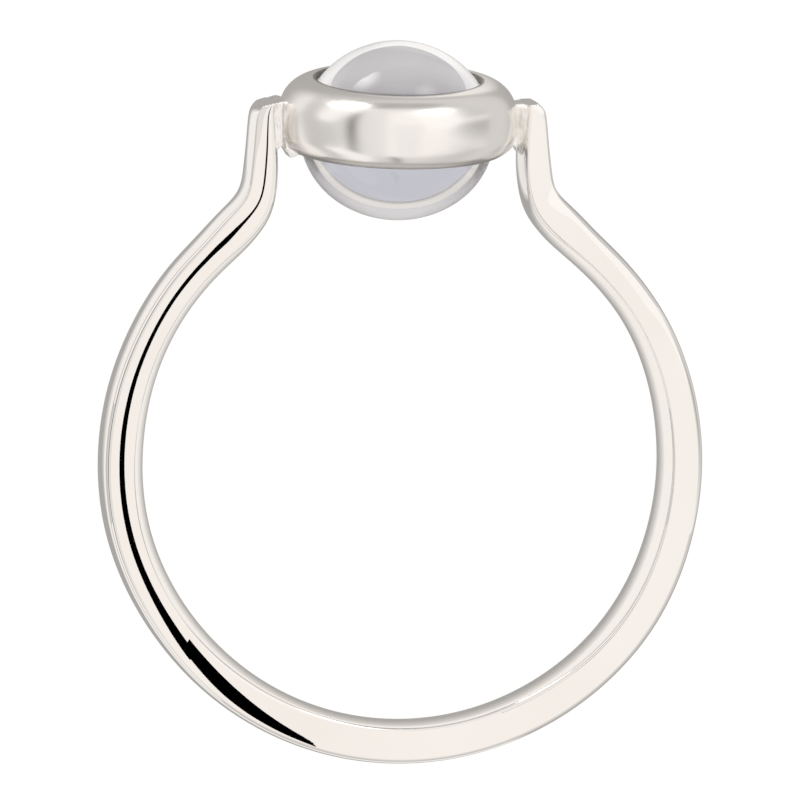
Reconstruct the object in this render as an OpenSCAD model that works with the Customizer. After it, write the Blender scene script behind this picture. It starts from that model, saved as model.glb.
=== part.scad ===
// Ring with a clear crystal ball held by its middle in an open barrel bezel.
// Millimetres. The ring lies on its side: X is across it, Y runs from the palm side to the stone, Z is up.
// Inside the modules the ring stands upright: x across, y up to the stone, z along the finger.

/* [Shank] */
// Radius of the finger hole at its narrowest line, along the sides
hole_radius = 8.33; // [7.2:0.01:10.4]
// Radial thickness of the shank at its sides
side_thickness = 1.42; // [1:0.01:2]
// Radial thickness of the shank at the palm side
palm_thickness = 1.42; // [1:0.01:1.9]
// Radial thickness of the shank where it meets the shoulders
flank_thickness = 1.29; // [0.9:0.01:1.6]
// Width of the shank along the finger, at its sides
side_width = 2.16; // [1.6:0.01:3.2]
// Width of the shank along the finger, at the palm side
palm_width = 1.62; // [1.2:0.01:3]
// Sideways offset of the palm side of the shank, which was bent by hand
palm_offset = 0.1; // [-0.15:0.01:0.15]
// Radius of the curve across the inside of the shank
comfort_radius = 1.69; // [1.65:0.01:6]
// How far the middle of the outside stands above its edges
outer_bulge = 0.1; // [0.02:0.01:0.2]
// Rounding of the outer edges
edge_round = 0.24; // [0.1:0.01:0.3]
// How far each side face swells at its middle
face_swell = 0.045; // [0:0.005:0.1]

/* [Shoulders] */
// Width of the shoulders along the finger
shoulder_width = 2.1; // [1.4:0.01:2.6]
// Sideways offset of the shoulders and the bezel, which were set by hand
top_offset = -0.1; // [-0.12:0.01:0.12]
// How much lower the tip of the right shoulder is filed
tip_drop = 0.13; // [0:0.01:0.2]

/* [Bezel] */
// Height of the middle of the stone above the middle of the finger hole
stone_height = 10.7; // [10.6:0.01:11]
// Outer radius of the bezel at its belly
bezel_radius = 3.83; // [3.78:0.01:3.95]
// Forward lean of the bezel on its solder
bezel_lean = 5.5; // [0:0.1:7]
// Sideways lean of the bezel
bezel_roll = 0.8; // [0:0.1:2]
// Radius of the opening at the upper lip
lip_radius = 2.66; // [2.6:0.01:2.8]
// Room between the stone and the bezel
stone_gap = 0.04; // [0.03:0.005:0.06]

/* [Stone] */
// Half of the height of the stone
stone_half_height = 2.875; // [2.8:0.005:2.9]
// Radius of the stone at its middle
girdle_radius = 3.14; // [3.1:0.01:3.14]
// Radius of the curve over the top of the stone
upper_pole = 3.2; // [3.18:0.01:3.26]
// Radius of the curve under the stone, which is the flatter end
lower_pole = 3.45; // [3.3:0.01:3.5]

/* [Hidden] */
// Lean of the whole ring as it lies, on its bezel and the palm end of the shank
rest_lean = 8.357;
rest_shift = -1.901;
rest_lift = 2.1735;

outer_radius = hole_radius + side_thickness;
// Angle above the sides at which the shoulders begin
shoulder_start = 47;
arc_step = 4.5;

// One row for each section of the right shoulder: the outer line, the inner line, and how much it is rounded
OUT_X = 0;
OUT_Y = 1;
IN_X = 2;
IN_Y = 3;
ROUND = 4;
shoulder_rows = [
    [6.23, 7.56, 5.29, 6.62, 0.85],
    [5.84, 7.98, 4.85, 7.02, 0.7],
    [5.49, 8.31, 4.44, 7.50, 0.6],
    [5.23, 8.56, 4.18, 7.90, 0.5],
    [5.06, 8.80, 4.03, 8.30, 0.42],
    [4.97, 9.06, 3.95, 8.71, 0.36],
    [4.92, 9.36, 3.90, 9.14, 0.32],
    [4.87, 9.80, 3.88, 9.69, 0.3],
    [4.81, 10.30, 3.91, 10.25, 0.28],
    [4.76, 10.85, 3.97, 10.85, 0.27],
    [4.72, 11.20, 4.00, 11.30, 0.26],
    [4.65, 11.44, 4.01, 11.58, 0.26],
    [4.46, 11.62, 4.02, 11.74, 0.26]
];

function ease(t) = let (s = min(1, max(0, t))) s * s * (3 - 2 * s);
function mix(a, b, t) = a + (b - a) * t;

// Sizes of the shank at an angle above the sides, where -90 is the palm side
function palm_share(a) = ease((-25 - a) / 48);
function flank_share(a) = ease((a - 2) / 34);
function shank_thickness(a) =
    mix(mix(side_thickness, palm_thickness, ease((-35 - a) / 50)), flank_thickness, flank_share(a));
function shank_half_width(a) = mix(side_width, palm_width, palm_share(a)) / 2;

// A station is the outer point, the inner point, the half width and the share of the comfort curve
function shank_station(a) = [
    [cos(a), sin(a)] * outer_radius,
    [cos(a), sin(a)] * (outer_radius - shank_thickness(a)),
    shank_half_width(a),
    mix(1, 0.9, flank_share(a))
];
function shoulder_station(row) = [
    [row[OUT_X], row[OUT_Y]],
    [row[IN_X], row[IN_Y]],
    mix(shoulder_width, side_width, ease((8.4 - row[OUT_Y]) / 1.2)) / 2,
    row[ROUND]
];

arc_count = ceil((shoulder_start + 90) / arc_step);
right_side = concat(
    [for (i = [0 : arc_count]) shank_station(mix(-90, shoulder_start, i / arc_count))],
    [for (row = shoulder_rows) shoulder_station(row)]
);

// The shoulders stand a little to one side and the palm end to the other, so the shank isn't quite round
function shifted(p) =
    [p[0] + top_offset * ease((p[1] - 4) / 4) + palm_offset * ease((-1.5 - p[1]) / 5), p[1]];
function filed(p) = [p[0], p[1] - tip_drop * ease((p[1] - 11) / 0.7)];
function right_hand(s) = [shifted(filed(s[0])), shifted(filed(s[1])), s[2], s[3]];
function left_hand(s) = [
    shifted([-s[0][0], s[0][1]]),
    shifted([-s[1][0], s[1][1]]),
    s[2],
    s[3]
];
last = len(right_side) - 1;
stations = concat(
    [for (i = [last : -1 : 1]) left_hand(right_side[i])],
    [for (i = [0 : last]) right_hand(right_side[i])]
);

// Section of the band: u runs from the inner line to the outer line, z along the finger
inner_steps = 6;
corner_steps = 4;
function comfort_drop(z, share) =
    share * (comfort_radius - sqrt(comfort_radius * comfort_radius - z * z));
function half_section(t, h, share) =
    let (
        corner = min(edge_round, h / 3),
        bulge = outer_bulge * h / 1.1 * share,
        edge = comfort_drop(h, share),
        top = t - bulge - corner
    )
    concat(
        [for (i = [1 : inner_steps / 2]) let (z = h * i / (inner_steps / 2)) [comfort_drop(z, share), z]],
        [for (i = [1 : 3]) let (s = i / 4) [mix(edge, top, s), h + face_swell * 4 * s * (1 - s)]],
        [for (i = [0 : corner_steps]) let (a = 90 * i / corner_steps)
            [top + corner * sin(a), h - corner + corner * cos(a)]],
        [[t - bulge * 0.25, (h - corner) / 2]]
    );
function section(t, h, share) =
    let (half = half_section(t, h, share), n = len(half))
    concat(
        [[0, 0]],
        half,
        [[t, 0]],
        [for (i = [n - 1 : -1 : 0]) [half[i][0], -half[i][1]]]
    );

function placed(s) =
    let (
        span = s[0] - s[1],
        t = norm(span),
        way = span / t
    )
    [for (p = section(t, s[2], s[3])) [s[1][0] + way[0] * p[0], s[1][1] + way[1] * p[0], p[1]]];

module band() {
    rings = [for (s = stations) placed(s)];
    n = len(rings[0]);
    m = len(rings);
    points = [for (r = rings) for (p = r) p];
    sides = [
        for (i = [0 : m - 2]) for (j = [0 : n - 1])
            let (k = (j + 1) % n)
            each [
                [i * n + j, (i + 1) * n + j, (i + 1) * n + k],
                [i * n + j, (i + 1) * n + k, i * n + k]
            ]
    ];
    ends = [
        [for (j = [0 : n - 1]) j],
        [for (j = [n - 1 : -1 : 0]) (m - 1) * n + j]
    ];
    polyhedron(points = points, faces = concat(sides, ends), convexity = 8);
}

// Outline of the barrel, cut through one side: a wide belly, a full upper edge and a tighter lower edge
belly_curve = 3.03;
belly_height = 0.28;
upper_curve = 1.05;
upper_angle = 10;
lower_curve = 0.6;
lower_angle = -7.5;
// The edge curves stand this far out of the belly, so that they cross it instead of only touching it
crossing = 0.004;
belly_centre = [bezel_radius - belly_curve, belly_height];
upper_centre = belly_centre + (belly_curve - upper_curve + crossing) * [cos(upper_angle), sin(upper_angle)];
lower_centre = belly_centre + (belly_curve - lower_curve + crossing) * [cos(lower_angle), sin(lower_angle)];

module barrel_outline() {
    translate(upper_centre)
        circle(r = upper_curve, $fn = 96);
    translate(lower_centre)
        circle(r = lower_curve, $fn = 72);
    intersection() {
        translate(belly_centre)
            circle(r = belly_curve, $fn = 240);
        polygon([
            lower_centre,
            belly_centre + 1.6 * belly_curve * [cos(lower_angle), sin(lower_angle)],
            belly_centre + 1.6 * belly_curve * [cos(upper_angle), sin(upper_angle)],
            upper_centre
        ]);
    }
}

// One half of the stone's outline: a pole curve and a side curve that run smoothly into each other
function side_curve(pole) =
    (pow(pole, 2) - pow(girdle_radius, 2) - pow(pole - stone_half_height, 2)) / (2 * (pole - girdle_radius));
module half_stone(pole, way, grow) {
    side = side_curve(pole);
    side_centre = [girdle_radius - side, 0];
    pole_centre = [0, way * (stone_half_height - pole)];
    joint = (side_centre - pole_centre) / norm(side_centre - pole_centre);
    intersection() {
        translate([0, way > 0 ? 0 : -5])
            square(5);
        union() {
            translate(side_centre)
                circle(r = side + grow, $fn = 144);
            intersection() {
                translate(pole_centre)
                    circle(r = pole + grow, $fn = 144);
                polygon([pole_centre, pole_centre + 8 * joint, pole_centre + [0, 8 * way]]);
            }
        }
    }
}

// The lower seat follows the stone, and the upper one is a shallow dome that stands off from it
upper_seat_offset = 0.2355;
upper_seat_radius = 3.243;
module bezel_section() {
    intersection() {
        difference() {
            barrel_outline();
            half_stone(lower_pole, -1, stone_gap);
            intersection() {
                translate([0, -upper_seat_offset])
                    circle(r = upper_seat_radius, $fn = 240);
                translate([0, -0.01])
                    square([5, 4]);
            }
            translate([0, 1])
                square([lip_radius, 2]);
        }
        translate([0, -2])
            square([6, 5]);
    }
}

// Puts round work on the bezel's axis, with the seam of each round wall in front, away from the solder
module on_bezel() {
    translate([top_offset, stone_height, 0])
        rotate([0, 0, -bezel_roll])
            rotate([bezel_lean, 0, 0])
                rotate([-90, 0, 0])
                    rotate([0, 0, 90])
                        children();
}

module bezel() {
    on_bezel()
        rotate_extrude($fn = 144)
            bezel_section();
}

// Solder between the bezel and each shoulder, drawn from the front with its ragged lower edge
module left_solder() {
    translate([0, 0, -0.82])
        linear_extrude(1.64)
            polygon([
                [-4.37, 11.69],
                [-4.11, 11.77],
                [-3.90, 11.80],
                [-3.60, 11.65],
                [-3.25, 10.50],
                [-3.22, 10.02],
                [-3.35, 10.00],
                [-3.49, 9.95],
                [-3.63, 9.91],
                [-3.70, 10.04],
                [-3.77, 10.15],
                [-3.86, 10.25],
                [-3.94, 10.33],
                [-4.02, 10.31],
                [-4.08, 10.22],
                [-4.26, 10.14],
                [-4.37, 10.99]
            ]);
}

module right_solder() {
    translate([0, 0, -0.78])
        linear_extrude(1.56)
            polygon([
                [4.17, 11.47],
                [4.00, 11.51],
                [3.84, 11.51],
                [3.65, 11.59],
                [3.42, 11.53],
                [3.29, 10.73],
                [3.33, 10.08],
                [3.48, 10.13],
                [3.56, 10.22],
                [3.65, 10.14],
                [3.72, 10.01],
                [3.81, 9.91],
                [4.07, 9.80],
                [4.13, 10.71]
            ]);
}

module seat_clearance() {
    // Keeps the solder out of the stone's seat
    on_bezel()
        cylinder(r = 3.5, h = 8, center = true, $fn = 144);
}

module lay_on_side() {
    translate([0, rest_shift, rest_lift])
        rotate([rest_lean, 0, 0])
            children();
}

module ring_mount() {
    color([0.86, 0.85, 0.82])
        lay_on_side() {
            union() {
                band();
                bezel();
                difference() {
                    union() {
                        left_solder();
                        right_solder();
                    }
                    seat_clearance();
                }
            }
        }
}

module rock_crystal() {
    color([0.75, 0.85, 0.95])
        lay_on_side()
            on_bezel()
                rotate_extrude($fn = 144) {
                    half_stone(upper_pole, 1, 0);
                    half_stone(lower_pole, -1, 0);
                }
}

ring_mount();
rock_crystal();
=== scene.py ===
import math
import bpy
import bmesh
from mathutils import Matrix, Vector
from mathutils.geometry import interpolate_bezier


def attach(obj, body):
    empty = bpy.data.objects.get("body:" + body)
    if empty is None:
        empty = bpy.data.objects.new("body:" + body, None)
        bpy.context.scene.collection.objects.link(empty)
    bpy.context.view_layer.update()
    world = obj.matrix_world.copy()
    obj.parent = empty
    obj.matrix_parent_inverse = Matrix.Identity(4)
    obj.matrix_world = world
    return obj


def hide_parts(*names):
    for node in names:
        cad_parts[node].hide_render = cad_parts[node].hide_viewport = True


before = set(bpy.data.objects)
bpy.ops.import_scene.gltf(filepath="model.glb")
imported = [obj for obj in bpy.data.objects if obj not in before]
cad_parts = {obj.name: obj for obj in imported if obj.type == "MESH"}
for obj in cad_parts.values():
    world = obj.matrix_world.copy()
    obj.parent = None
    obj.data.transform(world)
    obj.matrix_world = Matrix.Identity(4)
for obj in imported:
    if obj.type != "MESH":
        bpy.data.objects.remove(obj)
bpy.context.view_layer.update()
print("frame loaded")

mm = 0.001
sameSpot = 0.000002  # points nearer to each other than this are joined
turnedBack = -1  # with no window, the rotate operator turns the other way

# Each piece is drawn upright, x across the ring, y up to the stone and z along the finger, and then laid down
ringLay = {"lean": 8.357, "shift": -1.901, "lift": 2.1735}
bezelLay = {"offset": -0.1, "height": 10.7, "roll": 0.8, "lean": 5.5}


def eased(t):
    t = min(1, max(0, t))
    return t * t * (3 - 2 * t)


def faded(value, start, reach):
    # Grows softly from 0, at the start, to 1, at the start plus the reach
    return eased((value - start) / reach)


def between(a, b, t):
    return a + (b - a) * t


def layMatrix():
    lay = Matrix.Translation(Vector((0, ringLay["shift"], ringLay["lift"])) * mm)
    return lay @ Matrix.Rotation(math.radians(ringLay["lean"]), 4, "X")


def bezelMatrix():
    seat = Matrix.Translation(Vector((bezelLay["offset"], bezelLay["height"], 0)) * mm)
    roll = Matrix.Rotation(math.radians(-bezelLay["roll"]), 4, "Z")
    return seat @ roll @ Matrix.Rotation(math.radians(bezelLay["lean"] - 90), 4, "X")


# Small tools for working in edit mode

def onlyThis(piece):
    bpy.ops.object.select_all(action="DESELECT")
    piece.select_set(True)
    bpy.context.view_layer.objects.active = piece


def drawLoop(name, points):
    bpy.ops.object.select_all(action="DESELECT")
    bpy.ops.mesh.primitive_circle_add(
        vertices=len(points), radius=mm, fill_type="NOTHING", location=(0, 0, 0))
    piece = bpy.context.object
    piece.name = piece.data.name = name
    for vertex, point in zip(piece.data.vertices, points):
        vertex.co = Vector(point) * mm
    return piece


def editMesh(piece):
    onlyThis(piece)
    bpy.ops.object.mode_set(mode="EDIT")
    bpy.ops.mesh.select_mode(type="VERT")


def pickVertices(piece, test):
    shape = bmesh.from_edit_mesh(piece.data)
    for vertex in shape.verts:
        vertex.select = False
    shape.select_flush(False)
    for vertex in shape.verts:
        if test(vertex):
            vertex.select = True
    shape.select_flush(True)
    bmesh.update_edit_mesh(piece.data)


def pickEdges(piece, test):
    shape = bmesh.from_edit_mesh(piece.data)
    for vertex in shape.verts:
        vertex.select = False
    shape.select_flush(False)
    bpy.ops.mesh.select_mode(type="EDGE")
    shape = bmesh.from_edit_mesh(piece.data)
    for edge in shape.edges:
        edge.select = test(edge)
    bmesh.update_edit_mesh(piece.data)


def closeUp(piece):
    # Joins doubled points and turns every face outwards
    bpy.ops.mesh.select_mode(type="VERT")
    bpy.ops.mesh.select_all(action="SELECT")
    bpy.ops.mesh.remove_doubles(threshold=sameSpot)
    bpy.ops.mesh.normals_make_consistent(inside=False)
    bpy.ops.object.mode_set(mode="OBJECT")


def smoothed(piece, levels, sharpAngle):
    onlyThis(piece)
    rounding = piece.modifiers.new("rounding", "SUBSURF")
    rounding.levels = rounding.render_levels = levels
    bpy.ops.object.modifier_apply(modifier=rounding.name)
    bpy.ops.object.shade_smooth_by_angle(angle=math.radians(sharpAngle))


def laid(piece, matrix):
    onlyThis(piece)
    piece.matrix_world = matrix
    bpy.ops.object.transform_apply(location=True, rotation=True, scale=True)
    return piece


# The shank with its two shoulders, one bar of metal bent from tip to tip
bandSizes = {
    "holeRadius": 8.33,
    "sideThickness": 1.42,
    "palmThickness": 1.42,
    "flankThickness": 1.29,
    "sideWidth": 2.16,
    "palmWidth": 1.62,
    "shoulderWidth": 2.1,
    "comfortRadius": 1.69,  # curve across the inside
    "outerBulge": 0.1,
    "edgeRound": 0.24,
    "faceSwell": 0.04,
    "crestAt": 0.06,  # the flat face is highest just outside the inner edge
    "faceCurve": 0.16,  # and falls away from there, as a share of each millimetre
    "topOffset": -0.1,
    "palmOffset": 0.1,
    "tipDropInner": 0.2,  # the right tip is filed lower, most on its inner side
    "tipDropOuter": 0.03,
    "shoulderStart": 47,
    "arcStep": 4.5,
    "crispShare": 0.6,  # how much of the edge rounding is left at the tips
    "crispDrop": 0.024,  # and how much lower the outer edge lies there
    "flankCurveShare": 0.9,  # how much of the curve across the inside is left at the flanks
    "tipCrease": 0.85,
    "innerCrease": 0.25,
    "insideSteps": 3,  # points along each stretch of the section
    "faceSteps": 4,
    "cornerSteps": 4,
}
# Where each change along the bar starts and how far it runs, the first three in degrees round the ring and
# the others in millimetres
bandFades = {
    "flank": (2, 34),
    "palmThickness": (-35, -50),
    "palmWidth": (-25, -48),
    "shoulderWidth": (8.4, -1.2),
    "topShift": (4, 4),
    "palmShift": (-1.5, -5),
    "filedAcross": (4.6, -0.6),
    "filedUp": (11, 0.7),
    "crisp": (7.6, 1.2),
}
# Right shoulder from the flank to the tip: outer x and y, inner x and y, share of the comfort curve
shoulderRows = [
    (6.23, 7.56, 5.29, 6.62, 0.85),
    (5.84, 7.98, 4.85, 7.02, 0.70),
    (5.49, 8.31, 4.44, 7.50, 0.60),
    (5.23, 8.56, 4.18, 7.90, 0.50),
    (5.06, 8.80, 4.03, 8.30, 0.42),
    (4.97, 9.06, 3.95, 8.71, 0.36),
    (4.92, 9.36, 3.90, 9.14, 0.32),
    (4.87, 9.80, 3.88, 9.69, 0.30),
    (4.81, 10.30, 3.91, 10.25, 0.28),
    (4.76, 10.85, 3.97, 10.85, 0.27),
    (4.72, 11.20, 4.00, 11.30, 0.26),
    (4.65, 11.44, 4.01, 11.58, 0.26),
    (4.46, 11.62, 4.02, 11.74, 0.26),
]


def bandStations():
    s, fades = bandSizes, bandFades
    outerRadius = s["holeRadius"] + s["sideThickness"]
    steps = math.ceil((s["shoulderStart"] + 90) / s["arcStep"])
    right = []
    for i in range(steps + 1):
        angle = between(-90, s["shoulderStart"], i / steps)
        flank = faded(angle, *fades["flank"])
        palm = faded(angle, *fades["palmThickness"])
        thickness = between(between(s["sideThickness"], s["palmThickness"], palm), s["flankThickness"], flank)
        width = between(s["sideWidth"], s["palmWidth"], faded(angle, *fades["palmWidth"]))
        way = Vector((math.cos(math.radians(angle)), math.sin(math.radians(angle))))
        share = between(1, s["flankCurveShare"], flank)
        right.append((way * outerRadius, way * (outerRadius - thickness), width / 2, share))
    for outX, outY, inX, inY, share in shoulderRows:
        width = between(s["shoulderWidth"], s["sideWidth"], faded(outY, *fades["shoulderWidth"]))
        right.append((Vector((outX, outY)), Vector((inX, inY)), width / 2, share))

    def shifted(p):
        top = s["topOffset"] * faded(p.y, *fades["topShift"])
        palm = s["palmOffset"] * faded(p.y, *fades["palmShift"])
        return Vector((p.x + top + palm, p.y))

    def filed(p):
        drop = between(s["tipDropOuter"], s["tipDropInner"], faded(p.x, *fades["filedAcross"]))
        return Vector((p.x, p.y - drop * faded(p.y, *fades["filedUp"])))

    def mirrored(p):
        return Vector((-p.x, p.y))

    def stationOf(outer, inner, half, share):
        span = outer - inner
        curve = s["comfortRadius"]
        return {
            "inner": inner,
            "angle": math.atan2(span.y, span.x),
            "thickness": span.length,
            "half": half,
            "hollow": share * (curve - math.sqrt(curve * curve - half * half)),
            "crisp": between(1, s["crispShare"], faded(outer.y, *fades["crisp"])),
        }

    rightSide = [stationOf(shifted(filed(o)), shifted(filed(i)), h, c) for o, i, h, c in right]
    leftSide = [stationOf(shifted(mirrored(o)), shifted(mirrored(i)), h, c) for o, i, h, c in right]
    return rightSide, leftSide


def bandSection(station):
    # The cut across the bar: x from the inner line outwards, z along the finger
    s = bandSizes
    t, h = station["thickness"], station["half"]
    narrow = h / (s["sideWidth"] / 2)  # the bar widens away from the palm and its corners widen with it
    corner = s["edgeRound"]
    bulge = s["outerBulge"] * narrow
    curve = s["comfortRadius"]

    def drop(z):
        return curve - math.sqrt(curve * curve - z * z)

    def face(x):
        away = x - drop(h) - s["crestAt"]
        return h + (s["faceSwell"] - s["faceCurve"] / 2 * away * away) * narrow

    inside, across, turns = s["insideSteps"], s["faceSteps"], s["cornerSteps"]
    top = t - bulge - corner
    half = [(drop(h * i / inside), face(drop(h)) * i / inside) for i in range(1, inside + 1)]
    half += [(x, face(x)) for x in (between(drop(h), top, i / across) for i in range(1, across))]
    for i in range(turns + 1):
        a = math.radians(90 * i / turns)
        half.append((top + corner * math.sin(a), face(top) - (corner - corner * math.cos(a)) * narrow))
    # Halfway out from the middle, the outside has fallen by a quarter of its bulge
    half.append((t - bulge * 0.25, (h - corner * narrow) / 2))
    return [(0, 0)] + half + [(t, 0)] + [(x, -z) for x, z in reversed(half)], (t - bulge, face(top))


def bendBand():
    # Drawn at the palm, then pulled out step by step to the right tip and to the left tip
    origin = (0, 0, 0)
    sides = bandStations()
    palm = sides[0][0]
    section, (cornerX, cornerZ) = bandSection(palm)
    count = len(section)
    innerEdge, turns = bandSizes["insideSteps"], bandSizes["cornerSteps"]
    firstRound = innerEdge + bandSizes["faceSteps"]  # where the outer corner's points begin in the section
    corners = (
        (range(firstRound, firstRound + turns + 1), cornerZ),
        (range(count - firstRound - turns, count - firstRound + 1), -cornerZ),
    )
    piece = drawLoop("shank_and_shoulders", [(x, 0, z) for x, z in section])
    editMesh(piece)
    bpy.ops.mesh.select_all(action="SELECT")

    def turn(angle):
        bpy.ops.transform.rotate(value=turnedBack * angle, orient_axis="Z", center_override=origin)

    def stand(station):
        turn(station["angle"])
        bpy.ops.transform.translate(value=(station["inner"].x * mm, station["inner"].y * mm, 0))

    def layBack(station):
        bpy.ops.transform.translate(value=(-station["inner"].x * mm, -station["inner"].y * mm, 0))
        turn(-station["angle"])

    stand(palm)
    tips = []
    for stations in sides:
        pickVertices(piece, lambda v: v.index < count)
        for old, new in zip(stations, stations[1:]):
            loopStart = len(bmesh.from_edit_mesh(piece.data).verts)
            bpy.ops.mesh.extrude_region_move()
            layBack(old)
            thicker, wider = new["thickness"] / old["thickness"], new["half"] / old["half"]
            bpy.ops.transform.resize(value=(thicker, 1, wider), center_override=origin)
            # The curve across the inside gets its own depth at each step
            reach = old["hollow"] * thicker
            pickVertices(piece, lambda v: v.index >= loopStart and v.co.x <= reach * 1.001 * mm)
            bpy.ops.transform.resize(value=(new["hollow"] / reach, 1, 1), center_override=origin)
            # The outer edges get crisper towards the tips
            crisper = new["crisp"] / old["crisp"]
            lower = bandSizes["crispDrop"] * (old["crisp"] - new["crisp"]) / (1 - bandSizes["crispShare"])
            x = cornerX * new["thickness"] / palm["thickness"]
            for corner, side in corners:
                z = side * new["half"] / palm["half"]
                pickVertices(piece, lambda v: v.index - loopStart in corner)
                bpy.ops.transform.resize(value=(crisper, 1, crisper), center_override=(x * mm, 0, z * mm))
                bpy.ops.transform.translate(value=(0, 0, math.copysign(lower * mm, -z)))
            pickVertices(piece, lambda v: v.index >= loopStart)
            stand(new)
        tips.append(loopStart)
    total = len(bmesh.from_edit_mesh(piece.data).verts)
    # Both tips are closed with a flat end
    for low in tips:
        pickVertices(piece, lambda v: low <= v.index < low + count)
        bpy.ops.mesh.edge_face_add()
    # The inner edges and the rims of the tips stay crisp
    pickEdges(piece, lambda e: all(
        v.index < total and v.index % count in (innerEdge, count - innerEdge) for v in e.verts))
    bpy.ops.transform.edge_crease(value=bandSizes["innerCrease"])
    for low in tips:
        pickEdges(piece, lambda e: all(low <= v.index < low + count for v in e.verts))
        bpy.ops.transform.edge_crease(value=bandSizes["tipCrease"])
    closeUp(piece)
    smoothed(piece, levels=2, sharpAngle=40)
    return laid(piece, layMatrix())


# The barrel bezel, turned on a lathe. Its outline is drawn as one cut from the axis outwards: the radius, and
# the height above the stone's middle
bezelSizes = {
    "radius": 3.83,
    "bellyCurve": 3.03,
    "bellyHeight": 0.28,
    "upperCurve": 1.05,
    "upperAngle": 10,
    "lowerCurve": 0.6,
    "lowerAngle": -7.5,
    "underAngle": -100,  # where the lower curve ends under the wall
    "lipRadius": 2.66,
    "seatAt": 0.378,  # the seat follows the crystal's lower side
    "seatCurve": 2.802,
    "seatAngle": -12.6,
    "domeAt": -0.2355,  # and the dome over it stands a little off the crystal
    "domeCurve": 3.243,
    "domeAngles": (4.5, 34.6),
    "lipCrease": 0.72,
    "lowerCrease": 0.6,
    "bevelCrease": 0.7,
    "insideCrease": 0.7,
    "insideReach": 3.3,  # the inside lies nearer to the axis than this
    "seatTop": 0.9,
    "steps": 72,
}


def arcPoints(centre, radius, start, end, steps):
    points = []
    for i in range(steps + 1):
        a = math.radians(between(start, end, i / steps))
        points.append((centre[0] + radius * math.cos(a), centre[1] + radius * math.sin(a)))
    return points


def lathe(name, outline, steps, creases):
    piece = drawLoop(name, [(r, 0, z) for r, z in outline])
    editMesh(piece)
    if outline[0][0] == outline[-1][0] == 0:  # an outline from pole to pole stays open along the axis
        pickEdges(piece, lambda e: all(abs(v.co.x) < 1e-9 for v in e.verts))
        bpy.ops.mesh.delete(type="EDGE")
    bpy.ops.mesh.select_mode(type="VERT")
    bpy.ops.mesh.select_all(action="SELECT")
    bpy.ops.mesh.spin(steps=steps, angle=math.tau, center=(0, 0, 0), axis=(0, 0, 1))
    bpy.ops.mesh.select_all(action="SELECT")
    bpy.ops.mesh.remove_doubles(threshold=sameSpot)
    for (r, z), sharpness in creases:
        pickEdges(piece, lambda e: all(
            abs(math.hypot(v.co.x, v.co.y) - r * mm) < 1e-6 and abs(v.co.z - z * mm) < 1e-6 for v in e.verts))
        bpy.ops.transform.edge_crease(value=sharpness)
    closeUp(piece)
    return piece


def turnBezel():
    s = bezelSizes
    belly = (s["radius"] - s["bellyCurve"], s["bellyHeight"])

    def edgeCentre(curve, angle):
        reach, a = s["bellyCurve"] - curve, math.radians(angle)
        return belly[0] + reach * math.cos(a), belly[1] + reach * math.sin(a)

    upper = edgeCentre(s["upperCurve"], s["upperAngle"])
    lower = edgeCentre(s["lowerCurve"], s["lowerAngle"])
    lipAngle = math.degrees(math.acos((s["lipRadius"] - upper[0]) / s["upperCurve"]))
    outline = arcPoints(upper, s["upperCurve"], lipAngle, s["upperAngle"], steps=14)
    outline += arcPoints(belly, s["bellyCurve"], s["upperAngle"], s["lowerAngle"], steps=6)[1:]
    bevel = arcPoints(lower, s["lowerCurve"], s["lowerAngle"], s["underAngle"], steps=3)[1:]
    seat = arcPoints((s["seatAt"], 0), s["seatCurve"], s["seatAngle"], 0, steps=3)
    dome = arcPoints((0, s["domeAt"]), s["domeCurve"], *s["domeAngles"], steps=6)
    outline += bevel + seat + dome
    creases = [(point, s["insideCrease"]) for point in (dome[-1], dome[0], seat[-1])]
    creases += [(outline[0], s["lipCrease"]), (seat[0], s["lowerCrease"]), (bevel[0], s["bevelCrease"]),
                (bevel[1], s["bevelCrease"])]
    piece = lathe("barrel_bezel", outline, s["steps"], creases)
    smoothed(piece, levels=2, sharpAngle=38)
    return piece


def finishBezel(piece, outside, seat, lip):
    # The inside keeps a duller finish than the outside, and above the seat its colour is darkened as painted
    # shade
    s = bezelSizes
    wear(piece, outside)
    piece.data.materials.append(seat)
    piece.data.materials.append(lip)
    editMesh(piece)
    for slot, overSeat in ((1, False), (2, True)):
        shape = bmesh.from_edit_mesh(piece.data)
        for face in shape.faces:
            centre = face.calc_center_median()
            inward = centre.x * face.normal.x + centre.y * face.normal.y < 0
            inside = inward and math.hypot(*centre.xy) < s["insideReach"] * mm
            face.select = inside and (centre.z > s["seatTop"] * mm) == overSeat
        bmesh.update_edit_mesh(piece.data)
        piece.active_material_index = slot
        bpy.ops.object.material_slot_assign()
    bpy.ops.object.mode_set(mode="OBJECT")
    laid(piece, layMatrix() @ bezelMatrix())


# The crystal: a flatter bowl below and a rounder dome above, meeting at its widest line
crystalSizes = {
    "halfHeight": 2.875,
    "radius": 3.14,
    "upperPole": 3.2,
    "lowerPole": 3.45,
    "poleSteps": 10,
    "sideSteps": 12,
    "steps": 80,
}


def grindCrystal():
    s = crystalSizes
    outline = []
    for pole, way in ((s["upperPole"], 1), (s["lowerPole"], -1)):
        side = (pole ** 2 - s["radius"] ** 2 - (pole - s["halfHeight"]) ** 2) / (2 * (pole - s["radius"]))
        sideX = s["radius"] - side
        poleY = s["halfHeight"] - pole
        joint = math.degrees(math.atan2(-poleY, sideX))
        half = arcPoints((0, poleY), pole, 90, joint, s["poleSteps"])
        half += arcPoints((sideX, 0), side, joint, 0, s["sideSteps"])[1:]
        half[0] = (0, s["halfHeight"])
        outline += half if way > 0 else [(r, -z) for r, z in reversed(half[:-1])]
    piece = lathe("crystal_ball", outline, s["steps"], [])
    smoothed(piece, levels=1, sharpAngle=180)
    return laid(piece, layMatrix() @ bezelMatrix())


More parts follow.
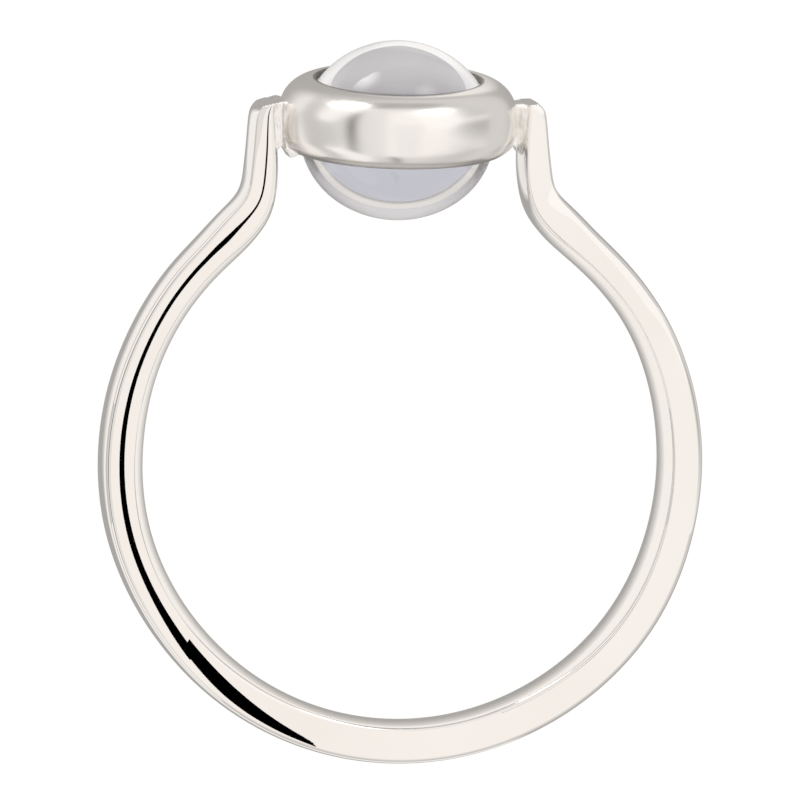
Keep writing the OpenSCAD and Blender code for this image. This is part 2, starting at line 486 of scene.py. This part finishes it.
# Solder that has run between each shoulder and the bezel, as its outline seen from the front. The points
# were picked by eye in the photograph and turned into millimetres by a separate script, and some were moved
# by hand
solderWebs = {
    "left": {
        "half": 0.66,
        "outline": [
            (-4.37, 11.64), (-4.11, 11.73), (-3.90, 11.79), (-3.60, 11.72), (-3.25, 10.50), (-3.22, 10.02),
            (-3.35, 10.00), (-3.49, 9.95), (-3.63, 9.91), (-3.70, 10.04), (-3.77, 10.15), (-3.86, 10.25),
            (-3.94, 10.33), (-4.02, 10.31), (-4.08, 10.22), (-4.26, 10.14), (-4.37, 10.99),
        ],
    },
    "right": {
        "half": 0.64,
        "outline": [
            (4.17, 11.50), (4.00, 11.54), (3.84, 11.57), (3.65, 11.53), (3.42, 11.46), (3.29, 10.73),
            (3.33, 10.08), (3.48, 10.13), (3.56, 10.22), (3.65, 10.14), (3.72, 10.01), (3.81, 9.91),
            (4.07, 9.80), (4.13, 10.71),
        ],
    },
    "flushFrom": 3.85,
    "flushHalf": 1.04,
    "edgeRound": 0.05,
    "grain": 0.035,  # size of the mesh's cells
    "lumpSize": 0.35,
    "lumpHeight": 0.045,
    "lumpLevel": 0.55,
    "edgeSteps": 3,
    "settling": 3,
}


def flowSolder(side):
    s = solderWebs[side]
    piece = drawLoop(side + "_solder", [(x, y, -s["half"]) for x, y in s["outline"]])
    editMesh(piece)
    bpy.ops.mesh.select_all(action="SELECT")
    bpy.ops.mesh.edge_face_add()
    bpy.ops.mesh.extrude_region_move(TRANSFORM_OT_translate={"value": (0, 0, 2 * s["half"] * mm)})
    # Where it meets the shoulder it is flush with the shoulder's face
    pickVertices(piece, lambda v: abs(v.co.x) > solderWebs["flushFrom"] * mm)
    bpy.ops.transform.resize(value=(1, 1, solderWebs["flushHalf"] / s["half"]), center_override=(0, 0, 0))
    pickEdges(piece, lambda e: e.verts[0].co.z * e.verts[1].co.z > 0)
    bpy.ops.mesh.bevel(offset=solderWebs["edgeRound"] * mm, segments=solderWebs["edgeSteps"])
    closeUp(piece)
    cells = piece.modifiers.new("cells", "REMESH")
    cells.mode = "VOXEL"
    cells.voxel_size = solderWebs["grain"] * mm
    lumps = piece.modifiers.new("lumps", "DISPLACE")
    lumps.texture = bpy.data.textures.new(side + "_lumps", "CLOUDS")
    lumps.texture.noise_scale = solderWebs["lumpSize"] * mm
    lumps.strength = solderWebs["lumpHeight"] * mm
    lumps.mid_level = solderWebs["lumpLevel"]
    settle = piece.modifiers.new("settle", "SMOOTH")
    settle.iterations = solderWebs["settling"]
    for modifier in [m.name for m in piece.modifiers]:
        bpy.ops.object.modifier_apply(modifier=modifier)
    bpy.ops.object.shade_smooth()
    return laid(piece, layMatrix())


# Finishes

# Each silver by its range of roughness and the strength of its ripple
silverFinishes = {
    "polished silver": {"shine": (0.005, 0.02), "depth": 0.04},
    "satin silver": {"shine": (0.2, 0.27), "depth": 0.2},
    "dull seat": {"shine": (0.3, 0.42), "depth": 0.4, "tint": (0.86, 0.88, 0.93)},
    # The lip's dark tint is painted shade on the inside above the seat
    "lip with painted shade": {"shine": (0.4, 0.5), "depth": 0.5, "tint": (0.34, 0.33, 0.31)},
}
# Painted shade under the bezel: where its colour is darkened, in metres up its axis and away from it
bezelPaintedShade = {
    "fadeHeight": (-0.00030, -0.00052),  # no darkening above the first, full below the second
    "fadeRadius": (0.00328, 0.00342),
    "dark": (0.42, 0.41, 0.40, 1),
}


def newFinish(name):
    finish = bpy.data.materials.new(name)
    finish.use_nodes = True
    nodes, links = finish.node_tree.nodes, finish.node_tree.links
    return finish, nodes, links, nodes["Principled BSDF"]


def noiseOf(nodes, links, scale, detail, stretch=(1, 1, 1)):
    place = nodes.new("ShaderNodeTexCoord")
    mapping = nodes.new("ShaderNodeMapping")
    mapping.inputs["Scale"].default_value = stretch
    noise = nodes.new("ShaderNodeTexNoise")
    noise.inputs["Scale"].default_value = scale
    noise.inputs["Detail"].default_value = detail
    links.new(place.outputs["Object"], mapping.inputs["Vector"])
    links.new(mapping.outputs["Vector"], noise.inputs["Vector"])
    return noise.outputs["Fac"]


def rampOf(nodes, links, source, stops):
    ramp = nodes.new("ShaderNodeValToRGB")
    while len(ramp.color_ramp.elements) < len(stops):
        ramp.color_ramp.elements.new(0.5)
    for element, (at, shade) in zip(ramp.color_ramp.elements, stops):
        element.position = at
        element.color = shade if len(shade) == 4 else (*shade, 1)
    links.new(source, ramp.inputs["Fac"])
    return ramp.outputs["Color"]


def rangeOf(nodes, links, source, low, high):
    # Noise seldom leaves the range from 0.3 to 0.7
    return spanOf(nodes, links, source, 0.3, 0.7, low, high)


def spanOf(nodes, links, source, fromLow, fromHigh, low, high):
    spread = nodes.new("ShaderNodeMapRange")
    for socket, value in zip(("From Min", "From Max", "To Min", "To Max"), (fromLow, fromHigh, low, high)):
        spread.inputs[socket].default_value = value
    links.new(source, spread.inputs["Value"])
    return spread.outputs["Result"]


def mathOf(nodes, links, operation, first, second):
    step = nodes.new("ShaderNodeMath")
    step.operation = operation
    links.new(first, step.inputs[0])
    if isinstance(second, (int, float)):
        step.inputs[1].default_value = second
    else:
        links.new(second, step.inputs[1])
    return step.outputs[0]


def bumpOf(nodes, links, source, strength, distance):
    bump = nodes.new("ShaderNodeBump")
    bump.inputs["Strength"].default_value = strength
    bump.inputs["Distance"].default_value = distance
    links.new(source, bump.inputs["Height"])
    return bump


def latheOf(nodes, links):
    # Distance from the bezel's axis and height along it, read from the laid piece
    place = nodes.new("ShaderNodeTexCoord")
    upright = nodes.new("ShaderNodeMapping")
    upright.vector_type = "TEXTURE"
    turned = layMatrix() @ bezelMatrix()
    upright.inputs["Location"].default_value = turned.to_translation()
    upright.inputs["Rotation"].default_value = turned.to_euler()
    links.new(place.outputs["Object"], upright.inputs["Vector"])
    parts = nodes.new("ShaderNodeSeparateXYZ")
    links.new(upright.outputs["Vector"], parts.inputs["Vector"])
    flat = nodes.new("ShaderNodeVectorMath")
    flat.operation = "MULTIPLY"
    flat.inputs[1].default_value = (1, 1, 0)
    links.new(upright.outputs["Vector"], flat.inputs[0])
    away = nodes.new("ShaderNodeVectorMath")
    away.operation = "LENGTH"
    links.new(flat.outputs["Vector"], away.inputs[0])
    return away.outputs["Value"], parts.outputs["Z"]


def paintedShadeUnder(finish):
    # Painted shade: the turned-under edge's colour is darkened, fading out up the wall and away under the
    # stone
    nodes, links = finish.node_tree.nodes, finish.node_tree.links
    shader = nodes["Principled BSDF"]
    away, height = latheOf(nodes, links)
    low = spanOf(nodes, links, height, *bezelPaintedShade["fadeHeight"], 0, 1)
    outer = spanOf(nodes, links, away, *bezelPaintedShade["fadeRadius"], 0, 1)
    mix = nodes.new("ShaderNodeMix")
    mix.data_type = "RGBA"
    mix.blend_type = "MULTIPLY"
    links.new(mathOf(nodes, links, "MULTIPLY", low, outer), mix.inputs["Factor"])
    links.new(shader.inputs["Base Color"].links[0].from_socket, mix.inputs["A"])
    mix.inputs["B"].default_value = bezelPaintedShade["dark"]
    links.new(mix.outputs["Result"], shader.inputs["Base Color"])
    return finish


def silver(name):
    # Hand polished white metal: faint tone drift, fine rub marks and a soft ripple left by the wheel
    chosen = silverFinishes[name]
    depth, tint = chosen["depth"], chosen.get("tint", (1, 1, 1))
    finish, nodes, links, shader = newFinish(name)
    shader.inputs["Metallic"].default_value = 1
    tone = noiseOf(nodes, links, 180, 3)
    shades = [(0.3, (0.93, 0.905, 0.875)), (0.7, (0.96, 0.94, 0.915))]
    tinted = [(at, tuple(c * t for c, t in zip(shade, tint))) for at, shade in shades]
    links.new(rampOf(nodes, links, tone, tinted), shader.inputs["Base Color"])
    rub = noiseOf(nodes, links, 900, 6)
    links.new(rangeOf(nodes, links, rub, *chosen["shine"]), shader.inputs["Roughness"])
    ripple = bumpOf(nodes, links, noiseOf(nodes, links, 420, 2), depth, 0.00002)
    fine = bumpOf(nodes, links, noiseOf(nodes, links, 5000, 4), depth * 0.4, 0.000004)
    links.new(ripple.outputs["Normal"], fine.inputs["Normal"])
    links.new(fine.outputs["Normal"], shader.inputs["Normal"])
    return finish


def roughSolder():
    # Dull cast skin, drawn up in streaks towards the top
    finish, nodes, links, shader = newFinish("solder")
    shader.inputs["Metallic"].default_value = 1
    tone = noiseOf(nodes, links, 2600, 5, (1, 0.35, 1))
    links.new(rampOf(nodes, links, tone, [(0.34, (0.80, 0.79, 0.77)), (0.46, (0.98, 0.965, 0.945))]),
              shader.inputs["Base Color"])
    links.new(rangeOf(nodes, links, noiseOf(nodes, links, 1800, 4), 0.16, 0.28), shader.inputs["Roughness"])
    streaks = bumpOf(nodes, links, noiseOf(nodes, links, 3800, 3, (1, 0.09, 0.5)), 0.9, 0.00006)
    pits = bumpOf(nodes, links, noiseOf(nodes, links, 5000, 3), 0.2, 0.00002)
    links.new(streaks.outputs["Normal"], pits.inputs["Normal"])
    links.new(pits.outputs["Normal"], shader.inputs["Normal"])
    return finish


def clearCrystal():
    finish, nodes, links, shader = newFinish("clear rock crystal")
    shader.inputs["Base Color"].default_value = (0.985, 0.985, 1.0, 1)
    shader.inputs["Transmission Weight"].default_value = 1
    shader.inputs["IOR"].default_value = 1.544
    haze = noiseOf(nodes, links, 700, 5)
    links.new(rangeOf(nodes, links, haze, 0.0, 0.012), shader.inputs["Roughness"])
    return finish


def wear(piece, finish):
    piece.data.materials.clear()
    piece.data.materials.append(finish)


band = bendBand()
wear(band, silver("polished silver"))
print("shank and shoulders bent")
bezel = turnBezel()
# The outside is darkened under its turned-under edge, and the lip above the seat, both as painted shade
finishBezel(bezel, paintedShadeUnder(silver("satin silver")), silver("dull seat"), silver("lip with painted shade"))
print("bezel turned")
crystal = grindCrystal()
wear(crystal, clearCrystal())
print("crystal ground")

webs = [flowSolder(side) for side in ("left", "right")]
solder = roughSolder()
for web in webs:
    wear(web, solder)
print("solder flowed")

for piece in [band, bezel] + webs:
    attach(piece, "root")
    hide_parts("ring_mount")
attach(crystal, "root")
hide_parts("rock_crystal")


# Camera, at the photograph's angle to the ring: a little to its left and above its middle
cameraSetting = {
    "left": 8,
    "above": 7,
    "distance": 400,
    "picture": 800,  # pixels across
    "pixelsPerMm": 31.2,
    "ringAt": (400.4, 462.3),  # the hole's middle, in pixels from the upper left
    "sensor": 36,
}


def setCamera():
    c = cameraSetting
    left, above = math.radians(c["left"]), math.radians(c["above"])
    toCamera = Vector((-math.sin(left) * math.cos(above), math.sin(above), math.cos(left) * math.cos(above)))
    right = Vector((0, 1, 0)).cross(toCamera).normalized()
    up = toCamera.cross(right)
    middle = c["picture"] / 2
    aside, raised = middle - c["ringAt"][0], c["ringAt"][1] - middle
    offset = right * aside / c["pixelsPerMm"] + up * raised / c["pixelsPerMm"]
    turn = Matrix((right, up, toCamera)).transposed().to_4x4()
    bpy.ops.object.camera_add()
    camera = bpy.context.object
    camera.matrix_world = layMatrix() @ Matrix.Translation((offset + toCamera * c["distance"]) * mm) @ turn
    camera.data.sensor_width = c["sensor"]
    camera.data.lens = c["sensor"] * c["distance"] * c["pixelsPerMm"] / c["picture"]
    camera.data.clip_start = 0.01
    camera.data.clip_end = 10
    bpy.context.scene.camera = camera


# A pale table inside a white tent, with cards and panels set round the ring. Their places are angles as seen
# from the ring: round to the right of its front, then up towards the stone
studio = {
    "tableDark": (0.46, 0.45, 0.44),
    "tableLight": (1.0, 0.98, 0.96),
    # Light on the table: two distances from the hole's middle, in metres, and the share of light at each
    "tableMiddle": (0.0045, 0.0075, 1, 0),
    "tableOutside": (0.0107, 0.0114, 0, 1),
    "tableFading": (0.016, 0.024, 1, 0.25),
    "tableFar": (0.02, 0.03, 0, 0.25),
    "rightward": (0.95, 0.3, 0),
    "tableRight": (0.0125, 0.0145, 0, 0.45),
    "leftward": (-0.89, -0.455, 0),
    "tableLeft": (0.0002, 0.0012, 0, 1),
    "tableSpots": {  # each a place, and the same values for the distance from it
        "stone": ((0.0005, 0.0104, 0), (0.0026, 0.0032, 1, 0)),
        "left shoulder": ((-0.0076, 0.0112, 0), (0.0021, 0.0026, 1, 0)),
        "above the stone": ((0.0026, 0.0176, 0), (0.0026, 0.0042, 0.9, 0)),
        "upper left": ((-0.0125, 0.018, 0), (0.0035, 0.008, 0.85, 0)),
    },
    "tableBelow": (0.0101, 0.0106, 1, 0),  # places up the table, for the rays through the stone
    "tableSize": 3,
    "tableDrop": 0.00003,  # keeps the table just clear of the ring
    "litShare": 0.65,  # the share of the table's look in the metal that is its own light
    "underStone": (0.53, 0.53, 0.58),
    "besideStone": (1.0, 0.98, 0.95),
    "seenShare": 0.85,  # the same share where the eye sees the table
    "seen": 1.13,  # and how bright that light is
    "nearDistance": 24,
    "tentTop": (0.965, 0.93, 0.90),
    "tentSide": (0.60, 0.59, 0.58),
    "tentLow": 0.25,
    "tentHigh": 0.68,
    "distance": 600,
    "cardColour": (1, 0.975, 0.95, 1),
    "softFall": (0.1, 0.5),  # where a soft card fades, as shares of its size from its middle outwards
    "softRim": 0.95,
}
cards = {
    "grey_card": {"round": -53, "up": 5, "wide": 20, "high": 120, "shade": 0.12, "soft": True},
    "top_card": {"round": 0, "up": 98, "wide": 45, "high": 46, "shade": 0.4},
    "left_panel": {"round": -101, "up": 35, "wide": 62, "high": 54, "shade": 1.0},
    "left_lamp": {"round": -104, "up": 63, "wide": 34, "high": 28, "shade": 7, "soft": True},
    "left_front": {"round": -31, "up": 8, "wide": 26, "high": 110, "shade": 0.8},
    "right_panel": {"round": 38, "up": 32, "wide": 40, "high": 62, "shade": 1.03},
    "right_card": {"round": 80, "up": 2, "wide": 84, "high": 40, "shade": 0.45, "soft": True},
    "right_lamp": {"round": 47, "up": 56, "wide": 30, "high": 20, "shade": 3.5, "soft": True},
    "low_panel": {"round": -86, "up": -42, "wide": 50, "high": 46, "shade": 1.0},
    "bezel_flag": {"round": 1, "up": 20, "wide": 19, "high": 52, "shade": 0.88, "distance": 17},
}


# The black gap between the tent's halves, as a curve from its top end down: an end, two handles and an end.
# Each has its place round and up, and the gap's width
blackGap = [(1.5, 4.5, 3.5), (-8, 1.5, 1), (-4.5, -11, 3.5), (2.5, -19.5, 5)]
# The near black card that ends the streak low on the left, as the curves of its inner and outer edge
streakEnd = {
    "inner": [(-13.5, -27), (-8.5, -32), (-1.5, -36.5), (-5.5, -42)],
    "outer": [(-19.5, -30.5), (-14.5, -37), (-8, -46), (-14, -56)],
}
curvePoints = 13  # along each curve


def setTable():
    # The eye sees it white. The metal sees it greyer close to the ring, and brighter in the hole's middle, at
    # and above the stone, beside the left shoulder, at the upper left and further out on both sides. Rays
    # through the stone see two tones of their own
    bpy.ops.object.select_all(action="DESELECT")
    bpy.ops.mesh.primitive_plane_add(size=studio["tableSize"], location=(0, 0, -studio["tableDrop"]))
    table = bpy.context.object
    table.name = "pale_table"
    finish, nodes, links, shader = newFinish("pale table")
    shader.inputs["Roughness"].default_value = 0.8
    shader.inputs["Specular IOR Level"].default_value = 0.1
    place = nodes.new("ShaderNodeTexCoord")
    parts = nodes.new("ShaderNodeSeparateXYZ")
    fromHole = nodes.new("ShaderNodeMapping")
    fromHole.inputs["Location"].default_value = (0, -ringLay["shift"] * mm, 0)
    links.new(place.outputs["Object"], fromHole.inputs["Vector"])
    links.new(fromHole.outputs["Vector"], parts.inputs["Vector"])

    def measured(operation, vector):
        measure = nodes.new("ShaderNodeVectorMath")
        measure.operation = operation
        measure.inputs[1].default_value = vector
        links.new(fromHole.outputs["Vector"], measure.inputs[0])
        return measure.outputs["Value"]

    reach = measured("DISTANCE", (0, 0, 0))
    middle, outside, fading, far = (
        spanOf(nodes, links, reach, *studio[zone])
        for zone in ("tableMiddle", "tableOutside", "tableFading", "tableFar"))
    left = spanOf(nodes, links, measured("DOT_PRODUCT", studio["leftward"]), *studio["tableLeft"])
    right = spanOf(nodes, links, measured("DOT_PRODUCT", studio["rightward"]), *studio["tableRight"])
    spots = [
        spanOf(nodes, links, measured("DISTANCE", at), *fall)
        for at, fall in studio["tableSpots"].values()]
    light = mathOf(nodes, links, "MULTIPLY", mathOf(nodes, links, "MULTIPLY", outside, left), fading)
    for zone in [middle, far, right] + spots:
        light = mathOf(nodes, links, "MAXIMUM", light, zone)
    shade = rampOf(nodes, links, light, [(0, studio["tableDark"]), (1, studio["tableLight"])])
    links.new(shade, shader.inputs["Base Color"])
    below = spanOf(nodes, links, parts.outputs["Y"], *studio["tableBelow"])
    through = rampOf(nodes, links, below, [(0, studio["underStone"]), (1, studio["besideStone"])])
    sight = nodes.new("ShaderNodeLightPath")
    surface = shader.outputs[0]
    white = nodes.new("ShaderNodeRGB")
    white.outputs[0].default_value = (1, 1, 1, 1)
    glows = (
        ("Is Glossy Ray", studio["litShare"], shade, 1),
        ("Is Transmission Ray", 1, through, 1),
        ("Is Camera Ray", studio["seenShare"], white.outputs[0], studio["seen"]),
    )
    for ray, share, colour, strength in glows:
        glow = nodes.new("ShaderNodeEmission")
        links.new(colour, glow.inputs["Color"])
        glow.inputs["Strength"].default_value = strength
        mix = nodes.new("ShaderNodeMixShader")
        links.new(mathOf(nodes, links, "MULTIPLY", sight.outputs[ray], share), mix.inputs[0])
        links.new(surface, mix.inputs[1])
        links.new(glow.outputs[0], mix.inputs[2])
        surface = mix.outputs[0]
    links.new(surface, nodes["Material Output"].inputs["Surface"])
    wear(table, finish)


def setTent():
    world = bpy.data.worlds.new("white tent")
    world.use_nodes = True
    nodes, links = world.node_tree.nodes, world.node_tree.links
    place = nodes.new("ShaderNodeTexCoord")
    parts = nodes.new("ShaderNodeSeparateXYZ")
    links.new(place.outputs["Generated"], parts.inputs["Vector"])
    shade = rampOf(nodes, links, parts.outputs["Z"],
                   [(studio["tentLow"], studio["tentSide"]), (studio["tentHigh"], studio["tentTop"])])
    links.new(shade, nodes["Background"].inputs["Color"])
    bpy.context.scene.world = world


def cardPlace(spot):
    a, up = math.radians(spot["round"]), math.radians(spot["up"])
    toCard = Vector((math.sin(a) * math.cos(up), math.sin(up), math.cos(a) * math.cos(up)))
    return toCard * spot.get("distance", studio["distance"]) * mm


def spread(degrees, spot):
    return 2 * spot.get("distance", studio["distance"]) * math.tan(math.radians(degrees / 2)) * mm


def finishCard(piece, shade, soft=False):
    # Seen only in the polished metal and the stone. A soft one is brightest in its middle
    finish, nodes, links, shader = newFinish(piece.name)
    glow = nodes.new("ShaderNodeEmission")
    glow.inputs["Color"].default_value = studio["cardColour"]
    glow.inputs["Strength"].default_value = shade
    links.new(glow.outputs[0], nodes["Material Output"].inputs["Surface"])
    if soft:
        place = nodes.new("ShaderNodeTexCoord")
        fromMiddle = nodes.new("ShaderNodeVectorMath")
        fromMiddle.operation = "DISTANCE"
        fromMiddle.inputs[1].default_value = (0.5, 0.5, 0)
        links.new(place.outputs["UV"], fromMiddle.inputs[0])
        distance = fromMiddle.outputs["Value"]
        fall = spanOf(nodes, links, distance, *studio["softFall"], shade, studio["softRim"])
        links.new(fall, glow.inputs["Strength"])
    wear(piece, finish)
    piece.visible_camera = piece.visible_shadow = piece.visible_diffuse = piece.visible_transmission = False


def setCard(name, card):
    centre = cardPlace(card)
    across = Vector((math.cos(math.radians(card["round"])), 0, -math.sin(math.radians(card["round"]))))
    facing = Matrix((across, centre.normalized().cross(across), centre.normalized())).transposed().to_4x4()
    bpy.ops.object.select_all(action="DESELECT")
    bpy.ops.mesh.primitive_plane_add(size=1)
    piece = bpy.context.object
    piece.name = name
    size = Matrix.Diagonal((spread(card["wide"], card), spread(card["high"], card), 1, 1))
    laid(piece, layMatrix() @ Matrix.Translation(centre) @ facing @ size)
    finishCard(piece, card["shade"], card.get("soft", False))


def curved(places):
    return interpolate_bezier(*[Vector(place) for place in places], curvePoints)


def setBlackGap():
    rows = [{"round": place.x, "up": place.y, "wide": place.z} for place in curved(blackGap)]
    corners = []
    for i, row in enumerate(rows):
        before, after = cardPlace(rows[max(i - 1, 0)]), cardPlace(rows[min(i + 1, len(rows) - 1)])
        sideways = (after - before).cross(cardPlace(row)).normalized() * spread(row["wide"], row) / 2
        corners += [cardPlace(row) + sideways, cardPlace(row) - sideways]
    setStrip("black_gap", corners)


def setStreakEnd():
    corners = []
    for pair in zip(curved(streakEnd["inner"]), curved(streakEnd["outer"])):
        for place in pair:
            corners.append(cardPlace({"round": place.x, "up": place.y, "distance": studio["nearDistance"]}))
    setStrip("streak_end", corners)


def setStrip(name, corners):
    # A strip of flat black patches, two corners to each row
    bpy.ops.object.select_all(action="DESELECT")
    bpy.ops.mesh.primitive_grid_add(x_subdivisions=1, y_subdivisions=len(corners) // 2 - 1)
    strip = bpy.context.object
    strip.name = name
    for vertex, corner in zip(strip.data.vertices, corners):
        vertex.co = corner
    laid(strip, layMatrix())
    finishCard(strip, 0)


setTable()
setTent()
setBlackGap()
setStreakEnd()
for name, card in cards.items():
    setCard(name, card)
setCamera()
bpy.context.scene.view_settings.view_transform = "Standard"
print("studio set")
